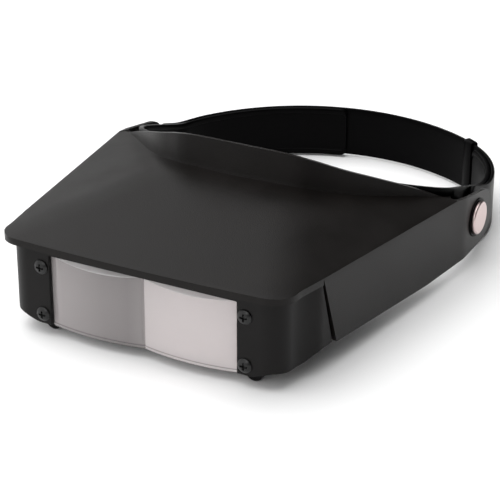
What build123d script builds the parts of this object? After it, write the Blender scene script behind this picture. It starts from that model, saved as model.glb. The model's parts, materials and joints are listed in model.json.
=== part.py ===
"""Head visor magnifier: a hard hood with a fixed and a flip-down lens plate, on an adjustable headband.

Frame: origin under the middle of the object on the surface it lies on, +X to the wearer's left,
+Y towards the back of the head, +Z up. Millimetres. Lengths along the object are measured from the
front face of the lens frame with along().
"""

import os
from math import sqrt

from build123d import *

os.makedirs("parts", exist_ok=True)

# ---- driving dimensions ----
FRONT_FACE = -122.9  # Y of the front face of the lens frame
BIG = 300.0  # longer than anything here, for through cuts
TALL = 90.0  # higher than anything here, for upright blanks
UPWARDS = (Align.CENTER, Align.CENTER, Align.MIN)  # stands on its place
BELOW = -5.0  # a height or a distance clear of every piece, for cuts that start outside
THROUGH_SIDE = (70.0, 100.0)  # X range that spans one side's walls, for holes along X
THROUGH_FRONT = (-5.0, 12.0)  # distance range that spans the lens frame and plate, for holes along Y

# hood
WALL = 2.0
LIP_FRONT = -4.6  # front edge of the roof at its corners
LIP_BOW = 1.4  # extra forward bow of the roof's front edge in the middle
LIP_TOP = 48.0
LIP_DROP = 3.2  # height of the roof's front edge
LIP_RADIUS = 12.0
ROOF_HALF_FRONT = 70.0  # half width of the hood at the roof's front edge
ROOF_HALF_NOTCH = 91.2  # half width where the roof meets the ears
NOTCH_ALONG = 134.0
NOTCH_TOP = 42.3
FLARE_END = 142.0  # the hood's sides are straight behind this
HOOD_REAR = 190.0  # the solid hood runs on to here before its ears are cut
CREST_HALF = 36.0  # half width of the roof's middle panel at the brow
CREST_ALONG = 91.0
CREST_TOP = 53.8
ROOF_RISE = 0.0755  # slope of the roof's middle panel
EAR_INNER = 90.0
EAR_OUTER = 92.5
EAR_CENTRE = (163.4, 22.8)  # along, height
EAR_RADIUS = 13.2
EAR_TOP = (166.4, 35.7)  # where the ear's top line meets its round end
SKIRT_BOTTOM = 8.6  # lower edge of the side panels
SKIRT_FRONT = 110.0  # where the lower edge turns up towards the seam
SEAM_TOP = (25.6, 46.0)  # joint between lens frame and side panel: along, height
SEAM_BOTTOM = (36.2, 12.0)
SEAM_GAP = 0.8
BROW_WALL = 2.2
BROW_PLAN = [(0.0, 89.0), (26.0, 90.0), (37.0, 93.5), (53.0, 103.0), (83.0, 131.0), (89.0, 135.5)]
BROW_TOP = [(0.0, 69.8), (25.0, 69.2), (37.0, 66.6), (53.0, 60.4), (70.0, 51.8), (84.0, 43.6),
            (92.0, 42.0)]
RECESS_WIDENS = 140.0  # behind this the head recess has straight sides

# pivots between hood and headband
PIVOT = (156.5, 25.0)  # along, height
POST_RADIUS = 4.0
RUNNING_FIT = 0.05  # radial clearance of every turning pair
BUSH_RADIUS = 6.0
BUSH_RIM_RADIUS = 9.4
SPACER_RADIUS = 7.5
POST_FLANGE_RADIUS = 7.0
CAP_RADIUS = 8.1
CAP_FACE = 93.3
CAP_TOP = 94.8
CAP_ROUND = 0.9
CAP_SOCKET = 0.6  # depth of the post's seat in the cap
POST_FLANGE = 1.2  # thickness
BUSH_RIM = 0.5  # thickness
HEAD_GAP = 0.3  # side play beside a turning or sliding piece

# lens frame
FRAME_WALL = 2.5
FRAME_HALF = 68.0
FRAME_RADIUS = 10.0
POST_INNER = 46.5  # half width of the window
WINDOW_TOP = 40.7
POST_BOTTOM = 6.5
CORNER_LOW_EDGE = [(53.0, POST_BOTTOM), (58.0, 8.2), (62.0, 9.0), (80.0, 9.0)]  # X, height
SIDE_LOW_EDGE = [(8.0, POST_BOTTOM), (17.0, 9.0), (23.4, 12.4), (32.6, 12.8)]  # along, height
FRAME_TALL = 60.0  # the lens frame's blank, cut off by the roof
LUG_HEIGHTS = (40.0, 42.0)
LUG_X = 64.0
LUG_ALONG = 23.5
LUG_SIZE = (11.0, 9.0)
LUG_MIDDLE = 66.5  # X of the lug's middle
LUG_SCREW_HEAD = (2.4, 1.4)  # radius, thickness
LUG_SCREW_LENGTH = 5.5
LUG_SCREW_RADIUS = 1.2
LUG_BOSS_RADIUS = 2.8
SCREW_X = 50.5
SCREW_HEIGHTS = (11.4, 34.6)
SCREW_HEAD_RADIUS = 3.4
SCREW_RADIUS = 1.4
SCREW_HEAD_EDGE = 0.5  # height of the head's upright edge
SCREW_HEAD_RISE = 1.6  # height of the head's flat top, and its radius
SCREW_HEAD_FLAT = 0.9
SCREW_CROSS = (3.6, 0.9, 1.1)  # length, width and depth of the cross recess
SCREW_HOLE_FIT = 0.2

# fixed lens plate
LENS_HALF = 55.5
LENS_BACK = 5.6
LENS_FLAT = 2.6  # front plane of the plate where it is clamped
LENS_BULGE = 1.7
LENS_BOTTOM = 5.0
LENS_TOP = 42.4
CLAMP_BACK = 7.1
CLAMP_X = 51.5
CLAMP_SIZE = (7.6, 32.0)
CLAMP_HEIGHT = 23.0  # of its middle

# flip-down lens
FLIP_AXIS = (10.0, 41.5)  # along, height
FLIP_ARM_X = (46.8, 54.8)
FLIP_ARM_FACE = (8.0, 10.5)
TAB_RADIUS = 4.15
KNUCKLE_RADIUS = 3.6
PIN_RADIUS = 1.5
PIN_HEAD_RADIUS = 2.4
PIN_ENDS = (60.0, 61.2)  # X of the pin head's two faces
BRACKET_X = (57.0, 59.5)
BRACKET_FOOT_X = 63.5
BRACKET_FOOT_BACK = 4.4
BRACKET_FOOT_LOW = 29.0
BRACKET_LOW = 35.5
BRACKET_HIGH = 44.5
BRACKET_BACK = 15.0
FLIP_ARM_INSET = 3.0  # the arm's straight part starts this far inside its tab and knuckle
FLIP_LENS_FACE = (10.7, 13.0)
FLIP_LENS_HALF = 54.4
FLIP_LENS_HEIGHTS = (4.8, 37.0)
FLIP_ZONE_X = (0.4, 44.8)  # raised magnifying zone, each side of the middle
FLIP_ZONE_EDGE = 1.6  # flat rim above and below it
FLIP_ZONE_RISE = 1.2
FLIP_SCREW_X = 50.8
FLIP_SCREW_HEIGHTS = (14.0, 31.0)
FLIP_SCREW_RADIUS = 1.0
FLIP_SCREW_HEAD = (1.9, 1.2)  # radius, thickness

# headband
BAND_HALF = 82.5  # inner face of the band's straight sides
BAND_THICK = 1.8
BAND_HALF_HEIGHT = 13.2
BAND_FRONT_CENTRE = 148.0  # where the straight sides begin
BAND_FRONT_DEPTH = 40.0
BAND_SIDE_END = 184.0  # where the straight sides end
BAND_APEX = 247.8  # rearmost point of the band's inner face
BAND_REAR = 96.0  # radius of the rear arc's inner face
BAND_SKEW = 4.0  # the flexible rear arc lies this far to +X
BAND_REST_HEIGHT = 14.4  # middle height of the band behind the wearer's head
BAND_SLOPE = 0.34
BAND_TOP_BEND = 45.0  # bend radii of the band's edges seen from the side
BAND_BOTTOM_BEND = 70.0
BAND_ENDS = (95.0, 262.0)  # distances in front of and behind the whole band
BAND_CUT = 10.0  # the far side's arms are cut this far behind the straight sides
STRAP_GAP = 0.4
STRAP_START = 165.0
ARM_ENDS = (-16.0, 62.0)  # X where the two arms end behind the head
STUD = (180.0, 15.0)  # along, height
STUD_RADIUS = 2.0
STUD_HEAD_RADIUS = 3.6
STUD_HEAD = 1.1  # thickness
STRAP_TRAVEL = 10.0
SLOT_FIT = 0.4  # clearance round the stud in the strap's slot
PAD_THICK = 5.5
PAD_HALF = 60.0
PAD_REAR = 150.0
PAD_INSET = 1.5  # the pad is this much lower than the band at both edges
KEEPER_X = 56.5
KEEPER_WIDE = 6.6
KEEPER_DEPTH = (1.0, 5.4)  # inner and outer face, from the band's inner face outwards
KEEPER_HOLE = (1.9, 4.3)
KEEPER_FIT = 0.3  # the hole is this much higher than the strap


def along(distance):
    """Y of a point this far behind the front face of the lens frame."""
    return FRONT_FACE + distance


def side_half(distance):
    """Half width of the hood at this distance behind the front face."""
    share = (distance - LIP_FRONT) / (NOTCH_ALONG - LIP_FRONT)
    return min(EAR_OUTER, ROOF_HALF_FRONT + share * (ROOF_HALF_NOTCH - ROOF_HALF_FRONT))


def both_sides(side, x_range):
    """X range given for +X, on the wanted side, its lower end first."""
    return sorted((side * x_range[0], side * x_range[1]))


def finish(piece, name):
    """Labels a piece and writes its file."""
    piece.part.label = name
    export_step(piece.part, f"parts/{name}.step")


def mirrored(points):
    """Points on +X, from the middle outwards, with their mirror images in front of them."""
    return [(-x, y) for x, y in reversed(points) if x > 0] + points


def axle(radius, x_from, x_to, distance, height):
    """Round bar along X, made apart from the piece that is being built."""
    start = Plane(origin=(x_from, along(distance), height), x_dir=(0, 1, 0), z_dir=(1, 0, 0))
    with BuildPart(mode=Mode.PRIVATE) as bar:
        with BuildSketch(start):
            Circle(radius)
        extrude(amount=x_to - x_from)
    return bar.part


def pin_back(radius, x, height, distance_from, distance_to):
    """Round bar along Y, made apart from the piece that is being built."""
    start = Plane(origin=(x, along(distance_from), height), x_dir=(1, 0, 0), z_dir=(0, 1, 0))
    with BuildPart(mode=Mode.PRIVATE) as bar:
        with BuildSketch(start):
            Circle(radius)
        extrude(amount=distance_to - distance_from)
    return bar.part


def block(x_range, along_range, z_range):
    """Plain block between two corners, made apart from the piece that is being built."""
    size = [x_range[1] - x_range[0], along_range[1] - along_range[0], z_range[1] - z_range[0]]
    centre = (sum(x_range) / 2, along(sum(along_range) / 2), sum(z_range) / 2)
    with BuildPart(Plane(origin=centre), mode=Mode.PRIVATE) as body:
        Box(*size)
    return body.part


# ---- hood ----
def hood_mass(inset):
    """Everything under the hood's outer skin, moved inwards by inset; it runs on below and behind."""
    corner = (ROOF_HALF_FRONT, along(LIP_FRONT), LIP_TOP)
    crest = (CREST_HALF, along(CREST_ALONG), CREST_TOP)
    notch = (ROOF_HALF_NOTCH, along(NOTCH_ALONG), NOTCH_TOP)
    across = Vector(*corner) - Vector(*crest)
    back = Vector(*notch) - Vector(*crest)
    normal = across.cross(back).normalized()
    if normal.Z < 0:
        normal = normal * -1
    with BuildPart(mode=Mode.PRIVATE) as mass:
        with BuildSketch():
            with BuildLine():
                half_front = ROOF_HALF_FRONT - inset
                half_rear = EAR_OUTER - inset
                front = along(LIP_FRONT) + inset
                flare_end, rear = along(FLARE_END), along(HOOD_REAR)
                ThreePointArc((-half_front, front), (0, front - LIP_BOW), (half_front, front))
                Polyline((half_front, front), (half_rear, flare_end), (half_rear, rear),
                         (-half_rear, rear), (-half_rear, flare_end), (-half_front, front))
            make_face()
        extrude(amount=TALL)
        upright = mass.edges().filter_by(Axis.Z).sort_by(Axis.Y)[:2]
        fillet(upright, LIP_RADIUS - inset)
        ridge_normal = Vector(0, -ROOF_RISE, 1).normalized()
        ridge_point = Vector(0, along(LIP_FRONT), LIP_TOP) - ridge_normal * inset
        split(bisect_by=Plane(origin=ridge_point, z_dir=ridge_normal), keep=Keep.BOTTOM)
        for side in (1, -1):
            facet_normal = Vector(side * normal.X, normal.Y, normal.Z)
            facet_point = Vector(side * notch[0], notch[1], notch[2]) - facet_normal * inset
            split(bisect_by=Plane(origin=facet_point, z_dir=facet_normal), keep=Keep.BOTTOM)
    return mass.part


def brow_band():
    """Upright wall behind the roof, bent round the forehead, with its top falling to the ears."""
    outer = [(x, along(y) - BROW_WALL) for x, y in BROW_PLAN]
    inner = [(x, along(y)) for x, y in BROW_PLAN]
    with BuildPart(mode=Mode.PRIVATE) as brow:
        with BuildSketch():
            with BuildLine():
                Spline(*mirrored(outer))
                Spline(*mirrored(inner))
                Line(mirrored(outer)[0], mirrored(inner)[0])
                Line(mirrored(outer)[-1], mirrored(inner)[-1])
            make_face()
        extrude(amount=TALL)
        with BuildSketch(Plane.XZ):
            with BuildLine():
                edge = mirrored(BROW_TOP)
                Spline(*edge)
                Polyline(edge[-1], (edge[-1][0], 0), (edge[0][0], 0), edge[0])
            make_face()
        extrude(amount=BIG, both=True, mode=Mode.INTERSECT)
    return brow.part


hood_outer = hood_mass(0.0)
hood_inner = hood_mass(WALL)
frame_space = hood_mass(WALL + 0.1)

with BuildPart() as visor_hood:
    add(hood_outer)
    add(brow_band())
    # head recess behind the brow
    with BuildSketch():
        with BuildLine():
            recess = mirrored([(x, along(y)) for x, y in BROW_PLAN])
            widens, open_end = along(RECESS_WIDENS), along(HOOD_REAR + 5)
            Spline(*recess)
            Polyline(recess[-1], (EAR_INNER, widens), (EAR_INNER, open_end), (-EAR_INNER, open_end),
                     (-EAR_INNER, widens), recess[0])
        make_face()
    extrude(amount=TALL, mode=Mode.SUBTRACT)
    add(hood_inner, mode=Mode.SUBTRACT)
    # side view: roof edge, seam, skirt and round ears
    with BuildSketch(Plane.YZ):
        with BuildLine():
            lip = (along(LIP_FRONT + BELOW), LIP_TOP - LIP_DROP)
            ear_low = (along(EAR_CENTRE[0]), EAR_CENTRE[1] - EAR_RADIUS)
            ear_back = (along(EAR_CENTRE[0] + EAR_RADIUS), EAR_CENTRE[1])
            ear_high = (along(EAR_TOP[0]), EAR_TOP[1])
            Polyline(lip, (along(SEAM_TOP[0]), LIP_TOP - LIP_DROP),
                     (along(SEAM_BOTTOM[0]), SEAM_BOTTOM[1]), (along(SKIRT_FRONT), SKIRT_BOTTOM), ear_low)
            ThreePointArc(ear_low, ear_back, ear_high)
            Polyline(ear_high, (along(NOTCH_ALONG + 1), NOTCH_TOP - 0.6), (along(NOTCH_ALONG), TALL),
                     (lip[0], TALL), lip)
        make_face()
    extrude(amount=BIG, both=True, mode=Mode.INTERSECT)
    for side in (1, -1):
        add(axle(BUSH_RADIUS, *both_sides(side, THROUGH_SIDE), *PIVOT), mode=Mode.SUBTRACT)
finish(visor_hood, "visor_hood")


# ---- lens frame ----
def frame_mass(inset):
    """Plan of the lens frame and its side returns, moved inwards by inset."""
    half = FRAME_HALF - inset
    rear = along(SEAM_BOTTOM[0] + 4)
    rear_half = side_half(SEAM_BOTTOM[0] + 4) - inset
    with BuildPart(mode=Mode.PRIVATE) as mass:
        with BuildSketch():
            with BuildLine():
                Polyline((-half, along(inset)), (half, along(inset)), (half, along(FRAME_RADIUS + 1)),
                         (rear_half, rear), (-rear_half, rear), (-half, along(FRAME_RADIUS + 1)),
                         (-half, along(inset)))
            make_face()
        extrude(amount=TALL)
        upright = mass.edges().filter_by(Axis.Z).sort_by(Axis.Y)[:2]
        fillet(upright, FRAME_RADIUS - inset)
    return mass.part


with BuildPart() as front_frame:
    add(frame_mass(0.0))
    add(frame_mass(FRAME_WALL), mode=Mode.SUBTRACT)
    # lugs for the two screws into the roof
    for side in (1, -1):
        with Locations((side * LUG_MIDDLE, along(LUG_ALONG), sum(LUG_HEIGHTS) / 2)):
            Box(*LUG_SIZE, LUG_HEIGHTS[1] - LUG_HEIGHTS[0])
    add(frame_mass(0.0), mode=Mode.INTERSECT)
    add(frame_space, mode=Mode.INTERSECT)
    # side view: lower edge and the seam at the back
    with BuildSketch(Plane.YZ):
        with BuildLine():
            low = [(along(BELOW), POST_BOTTOM)] + [(along(y), z) for y, z in SIDE_LOW_EDGE]
            seam_top = along(SEAM_TOP[0] - SEAM_GAP / 2)
            Polyline(*low, (seam_top, SEAM_TOP[1]), (seam_top, FRAME_TALL), (low[0][0], FRAME_TALL),
                     low[0])
        make_face()
    extrude(amount=BIG, both=True, mode=Mode.INTERSECT)
    # front view: the lower edge rises outside the posts
    with BuildSketch(Plane.XZ):
        with BuildLine():
            low = mirrored(CORNER_LOW_EDGE)
            Polyline(*low, (low[-1][0], FRAME_TALL), (low[0][0], FRAME_TALL), low[0])
        make_face()
    extrude(amount=BIG, both=True, mode=Mode.INTERSECT)
    add(block((-POST_INNER, POST_INNER), THROUGH_FRONT, (BELOW, WINDOW_TOP)), mode=Mode.SUBTRACT)
    for side in (1, -1):
        for height in SCREW_HEIGHTS:
            hole_radius = SCREW_RADIUS + SCREW_HOLE_FIT
            add(pin_back(hole_radius, side * SCREW_X, height, *THROUGH_FRONT), mode=Mode.SUBTRACT)
        with Locations((side * LUG_X, along(LUG_ALONG), 0)):
            Cylinder(LUG_SCREW_RADIUS + SCREW_HOLE_FIT, 2 * TALL, mode=Mode.SUBTRACT)
finish(front_frame, "front_frame")

# bosses under the roof for the frame's screws
with BuildPart() as frame_bosses:
    with Locations(*[(side * LUG_X, along(LUG_ALONG), LUG_HEIGHTS[1]) for side in (1, -1)]):
        Cylinder(LUG_BOSS_RADIUS, TALL, align=UPWARDS)
        Cylinder(LUG_SCREW_RADIUS, TALL, align=UPWARDS, mode=Mode.SUBTRACT)
    add(hood_inner, mode=Mode.INTERSECT)
finish(frame_bosses, "frame_bosses")

with BuildPart() as frame_screws:
    with Locations(*[(side * LUG_X, along(LUG_ALONG), LUG_HEIGHTS[0]) for side in (1, -1)]):
        Cylinder(*LUG_SCREW_HEAD, align=(Align.CENTER, Align.CENTER, Align.MAX))
        Cylinder(LUG_SCREW_RADIUS, LUG_SCREW_LENGTH, align=UPWARDS)
finish(frame_screws, "frame_screws")


# ---- fixed lens ----
with BuildPart() as front_lens_plate:
    with BuildSketch(Plane.XY.offset(LENS_BOTTOM)):
        with BuildLine():
            edge = POST_INNER - 0.4
            seam = (0, along(LENS_FLAT - LENS_BULGE))
            crown = along(LENS_FLAT - 2 * LENS_BULGE + 0.5)
            Polyline((0, along(LENS_BACK)), (LENS_HALF, along(LENS_BACK)), (LENS_HALF, along(LENS_FLAT)),
                     (edge, along(LENS_FLAT)))
            ThreePointArc((edge, along(LENS_FLAT)), (edge / 2, crown), seam)
            ThreePointArc(seam, (-edge / 2, crown), (-edge, along(LENS_FLAT)))
            Polyline((-edge, along(LENS_FLAT)), (-LENS_HALF, along(LENS_FLAT)),
                     (-LENS_HALF, along(LENS_BACK)), (0, along(LENS_BACK)))
        make_face()
    extrude(amount=LENS_TOP - LENS_BOTTOM)
    for side in (1, -1):
        for height in SCREW_HEIGHTS:
            hole_radius = SCREW_RADIUS + SCREW_HOLE_FIT
            add(pin_back(hole_radius, side * SCREW_X, height, *THROUGH_FRONT), mode=Mode.SUBTRACT)
    # the bulge would meet the top bar, so its top is cut back to the flat plate
    add(block((-POST_INNER, POST_INNER), (BELOW, LENS_FLAT), (WINDOW_TOP - 0.3, TALL)), mode=Mode.SUBTRACT)
finish(front_lens_plate, "front_lens_plate")

for side, word in ((1, "left"), (-1, "right")):
    with BuildPart() as lens_clamp:
        with BuildSketch(Plane.XZ.offset(-along(LENS_BACK))):
            with Locations((side * CLAMP_X, CLAMP_HEIGHT)):
                RectangleRounded(*CLAMP_SIZE, 2.0)
            with Locations(*[(side * SCREW_X, height) for height in SCREW_HEIGHTS]):
                Circle(SCREW_RADIUS, mode=Mode.SUBTRACT)
        extrude(amount=LENS_BACK - CLAMP_BACK)
    finish(lens_clamp, f"lens_clamp_{word}")


def cross_screw(x, height):
    """Countersunk-look pan screw with a cross recess, driven in from the front."""
    with BuildPart(mode=Mode.PRIVATE) as screw:
        with BuildSketch(Plane.YZ):
            with BuildLine():
                tip = along(CLAMP_BACK - 0.1)
                edge = (along(-SCREW_HEAD_EDGE), SCREW_HEAD_RADIUS)
                crown = (along(-SCREW_HEAD_RISE), SCREW_HEAD_FLAT)
                shoulder = (along(-0.85 * SCREW_HEAD_RISE), SCREW_HEAD_RADIUS * 0.6)
                Polyline((crown[0], 0), (tip, 0), (tip, SCREW_RADIUS), (along(0), SCREW_RADIUS),
                         (along(0), SCREW_HEAD_RADIUS), edge)
                ThreePointArc(edge, shoulder, crown)
                Line(crown, (crown[0], 0))
            make_face()
        revolve(axis=Axis((0, 0, 0), (0, 1, 0)))
        length, width, depth = SCREW_CROSS
        with Locations((0, along(-SCREW_HEAD_RISE), 0)):
            Box(length, 2 * depth, width, mode=Mode.SUBTRACT)
            Box(width, 2 * depth, length, mode=Mode.SUBTRACT)
    return screw.part.moved(Location((x, 0, height)))


with BuildPart() as lens_screws:
    for side in (1, -1):
        for height in SCREW_HEIGHTS:
            add(cross_screw(side * SCREW_X, height))
finish(lens_screws, "lens_screws")

# ---- flip-down lens ----
for side, word in ((1, "left"), (-1, "right")):
    with BuildPart() as flip_bracket:
        foot_x = both_sides(side, (BRACKET_X[0], BRACKET_FOOT_X))
        plate_x = both_sides(side, BRACKET_X)
        add(block(foot_x, (FRAME_WALL, BRACKET_FOOT_BACK), (BRACKET_FOOT_LOW, BRACKET_HIGH)))
        add(block(plate_x, (FRAME_WALL, BRACKET_BACK), (BRACKET_LOW, BRACKET_HIGH)))
        add(axle(PIN_RADIUS + RUNNING_FIT, *plate_x, *FLIP_AXIS), mode=Mode.SUBTRACT)
        add(front_frame.part, mode=Mode.SUBTRACT)
    finish(flip_bracket, f"flip_bracket_{word}")

    with BuildPart() as flip_arm:
        arm_x = both_sides(side, FLIP_ARM_X)
        middle_x = sum(arm_x) / 2
        arm_low = TAB_RADIUS + FLIP_ARM_INSET
        add(block(arm_x, FLIP_ARM_FACE, (arm_low, FLIP_AXIS[1] - FLIP_ARM_INSET)))
        with BuildSketch(Plane.XZ.offset(-along(FLIP_ARM_FACE[0]))):
            with Locations((middle_x, TAB_RADIUS)):
                Circle(TAB_RADIUS)
            with Locations((middle_x, arm_low - FLIP_ARM_INSET / 2)):
                Rectangle(2 * TAB_RADIUS, FLIP_ARM_INSET)
        extrude(amount=FLIP_ARM_FACE[0] - FLIP_ARM_FACE[1])
        add(axle(KNUCKLE_RADIUS, *arm_x, *FLIP_AXIS))
        add(axle(PIN_RADIUS, *arm_x, *FLIP_AXIS), mode=Mode.SUBTRACT)
        for height in FLIP_SCREW_HEIGHTS:
            add(pin_back(FLIP_SCREW_RADIUS, side * FLIP_SCREW_X, height, *FLIP_ARM_FACE), mode=Mode.SUBTRACT)
    finish(flip_arm, f"flip_arm_{word}")

flip_middle = sum(FLIP_LENS_HEIGHTS) / 2
flip_tall = FLIP_LENS_HEIGHTS[1] - FLIP_LENS_HEIGHTS[0]
with BuildPart() as flip_lens_plate:
    with BuildSketch(Plane.XZ.offset(-along(FLIP_LENS_FACE[0]))):
        with Locations((0, flip_middle)):
            RectangleRounded(2 * FLIP_LENS_HALF, flip_tall, 3.0)
        for side in (1, -1):
            with Locations(*[(side * FLIP_SCREW_X, height) for height in FLIP_SCREW_HEIGHTS]):
                Circle(FLIP_SCREW_RADIUS, mode=Mode.SUBTRACT)
    extrude(amount=FLIP_LENS_FACE[0] - FLIP_LENS_FACE[1])
    for side in (1, -1):
        with BuildSketch(Plane.XZ.offset(-along(FLIP_LENS_FACE[1]))):
            with Locations((side * sum(FLIP_ZONE_X) / 2, flip_middle)):
                Rectangle(FLIP_ZONE_X[1] - FLIP_ZONE_X[0], flip_tall - 2 * FLIP_ZONE_EDGE)
        extrude(amount=-FLIP_ZONE_RISE)
finish(flip_lens_plate, "flip_lens_plate")

with BuildPart() as flip_lens_screws:
    for side in (1, -1):
        for height in FLIP_SCREW_HEIGHTS:
            head_face = FLIP_LENS_FACE[1]
            add(pin_back(FLIP_SCREW_RADIUS, side * FLIP_SCREW_X, height, FLIP_ARM_FACE[0] + 0.3, head_face))
            add(pin_back(FLIP_SCREW_HEAD[0], side * FLIP_SCREW_X, height, head_face,
                         head_face + FLIP_SCREW_HEAD[1]))
finish(flip_lens_screws, "flip_lens_screws")

with BuildPart() as flip_pins:
    for side in (1, -1):
        add(axle(PIN_RADIUS, *both_sides(side, (FLIP_ARM_X[0], PIN_ENDS[1])), *FLIP_AXIS))
        add(axle(PIN_HEAD_RADIUS, *both_sides(side, PIN_ENDS), *FLIP_AXIS))
finish(flip_pins, "flip_pins")


# ---- headband ----
def rear_arc_centre():
    """Plan centre of the band's rear arc."""
    return BAND_SKEW, along(BAND_APEX - BAND_REAR)


def loop_corner(side, offset):
    """Arc from the end of a straight side to the rear arc, as start, middle and end points."""
    centre_x, centre_y = rear_arc_centre()
    reach = BAND_HALF - side * BAND_SKEW
    depth = along(BAND_SIDE_END) - centre_y
    radius = (BAND_REAR + reach - depth ** 2 / (BAND_REAR - reach)) / 2
    corner = Vector(side * (BAND_HALF - radius), along(BAND_SIDE_END))
    outward = (corner - Vector(centre_x, centre_y)).normalized()
    halfway = (outward + Vector(side, 0)).normalized()
    return [corner + direction * (radius + offset) for direction in (Vector(side, 0), halfway, outward)]


def loop(offset):
    """Plan outline of the headband, offset outwards from its inner face."""
    half = BAND_HALF + offset
    front = along(BAND_FRONT_CENTRE)
    left, right = loop_corner(1, offset), loop_corner(-1, offset)
    with BuildSketch(mode=Mode.PRIVATE) as outline:
        with BuildLine():
            ThreePointArc(*left)
            ThreePointArc(left[2], (BAND_SKEW, along(BAND_APEX) + offset), right[2])
            ThreePointArc(*reversed(right))
            Line(right[0], (-half, front))
            EllipticalCenterArc((0, front), half, BAND_FRONT_DEPTH + offset, start_angle=180, arc_size=180)
            Line((half, front), left[0])
        make_face()
    return outline.sketch


def band_part(offset_in, offset_out, half_height):
    """Closed ring of the band between two offsets, sloping up from the back of the head to the forehead."""
    front, rear = along(BAND_ENDS[0]), along(BAND_ENDS[1])
    bend = along(PIVOT[0] + (PIVOT[1] - BAND_REST_HEIGHT) / BAND_SLOPE)
    rise = BAND_REST_HEIGHT + (bend - front) * BAND_SLOPE
    tall = half_height * sqrt(1 + BAND_SLOPE ** 2)
    with BuildPart(mode=Mode.PRIVATE) as ring:
        with BuildSketch():
            add(loop(offset_out))
            add(loop(offset_in), mode=Mode.SUBTRACT)
        extrude(amount=TALL)
        with BuildSketch(Plane.YZ):
            with BuildLine():
                shift = half_height * BAND_SLOPE / 2
                top = BAND_REST_HEIGHT + half_height
                bottom = BAND_REST_HEIGHT - half_height
                FilletPolyline((front, rise + tall), (bend + shift, top), (rear, top),
                               radius=BAND_TOP_BEND)
                Line((rear, top), (rear, bottom))
                FilletPolyline((rear, bottom), (bend - shift, bottom), (front, rise - tall),
                               radius=BAND_BOTTOM_BEND)
                Line((front, rise - tall), (front, rise + tall))
            make_face()
        extrude(amount=BIG, both=True, mode=Mode.INTERSECT)
    return ring.part


arms_outer = BAND_HALF + BAND_THICK
strap_inner = BAND_THICK + STRAP_GAP
strap_outer = strap_inner + BAND_THICK

with BuildPart() as front_band:
    add(band_part(0.0, BAND_THICK, BAND_HALF_HEIGHT))
    add(block(ARM_ENDS, (BAND_SIDE_END + BAND_CUT, BAND_ENDS[1]), (BELOW, TALL)), mode=Mode.SUBTRACT)
    for side in (1, -1):
        through = both_sides(side, THROUGH_SIDE)
        add(axle(POST_RADIUS, *through, *PIVOT), mode=Mode.SUBTRACT)
        add(axle(STUD_RADIUS, *through, *STUD), mode=Mode.SUBTRACT)
finish(front_band, "front_band")

with BuildPart() as brow_pad:
    add(band_part(-PAD_THICK, -0.1, BAND_HALF_HEIGHT - PAD_INSET))
    add(block((-PAD_HALF, PAD_HALF), (BAND_ENDS[0], PAD_REAR), (BELOW, TALL)), mode=Mode.INTERSECT)
finish(brow_pad, "brow_pad")

with BuildPart() as rear_strap:
    add(band_part(strap_inner, strap_outer, BAND_HALF_HEIGHT))
    add(block((-BIG, BIG), (STRAP_START, BAND_ENDS[1]), (BELOW, TALL)), mode=Mode.INTERSECT)
    for side in (1, -1):
        slot_high = 2 * (STUD_RADIUS + SLOT_FIT)
        slot_middle = (side * BAND_HALF, along(STUD[0] - STRAP_TRAVEL / 2), STUD[1])
        with BuildSketch(Plane(origin=slot_middle, x_dir=(0, 1, 0), z_dir=(1, 0, 0))):
            SlotOverall(STRAP_TRAVEL + slot_high, slot_high)
        extrude(amount=20, both=True, mode=Mode.SUBTRACT)
finish(rear_strap, "rear_strap")

# keeper round the strap, square to it at KEEPER_X
arc_x, arc_y = rear_arc_centre()
keeper_rise = sqrt(BAND_REAR ** 2 - (KEEPER_X - arc_x) ** 2)
keeper_plane = Plane(origin=(KEEPER_X, arc_y + keeper_rise, BAND_REST_HEIGHT),
                     x_dir=(keeper_rise, arc_x - KEEPER_X, 0), z_dir=(0, 0, 1))
with BuildPart(keeper_plane) as strap_keeper:
    with Locations((0, sum(KEEPER_DEPTH) / 2, 0)):
        Box(KEEPER_WIDE, KEEPER_DEPTH[1] - KEEPER_DEPTH[0], 2 * BAND_REST_HEIGHT)
    with Locations((0, sum(KEEPER_HOLE) / 2, 0)):
        Box(KEEPER_WIDE + 2, KEEPER_HOLE[1] - KEEPER_HOLE[0], 2 * BAND_HALF_HEIGHT + KEEPER_FIT,
            mode=Mode.SUBTRACT)
finish(strap_keeper, "strap_keeper")

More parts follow.
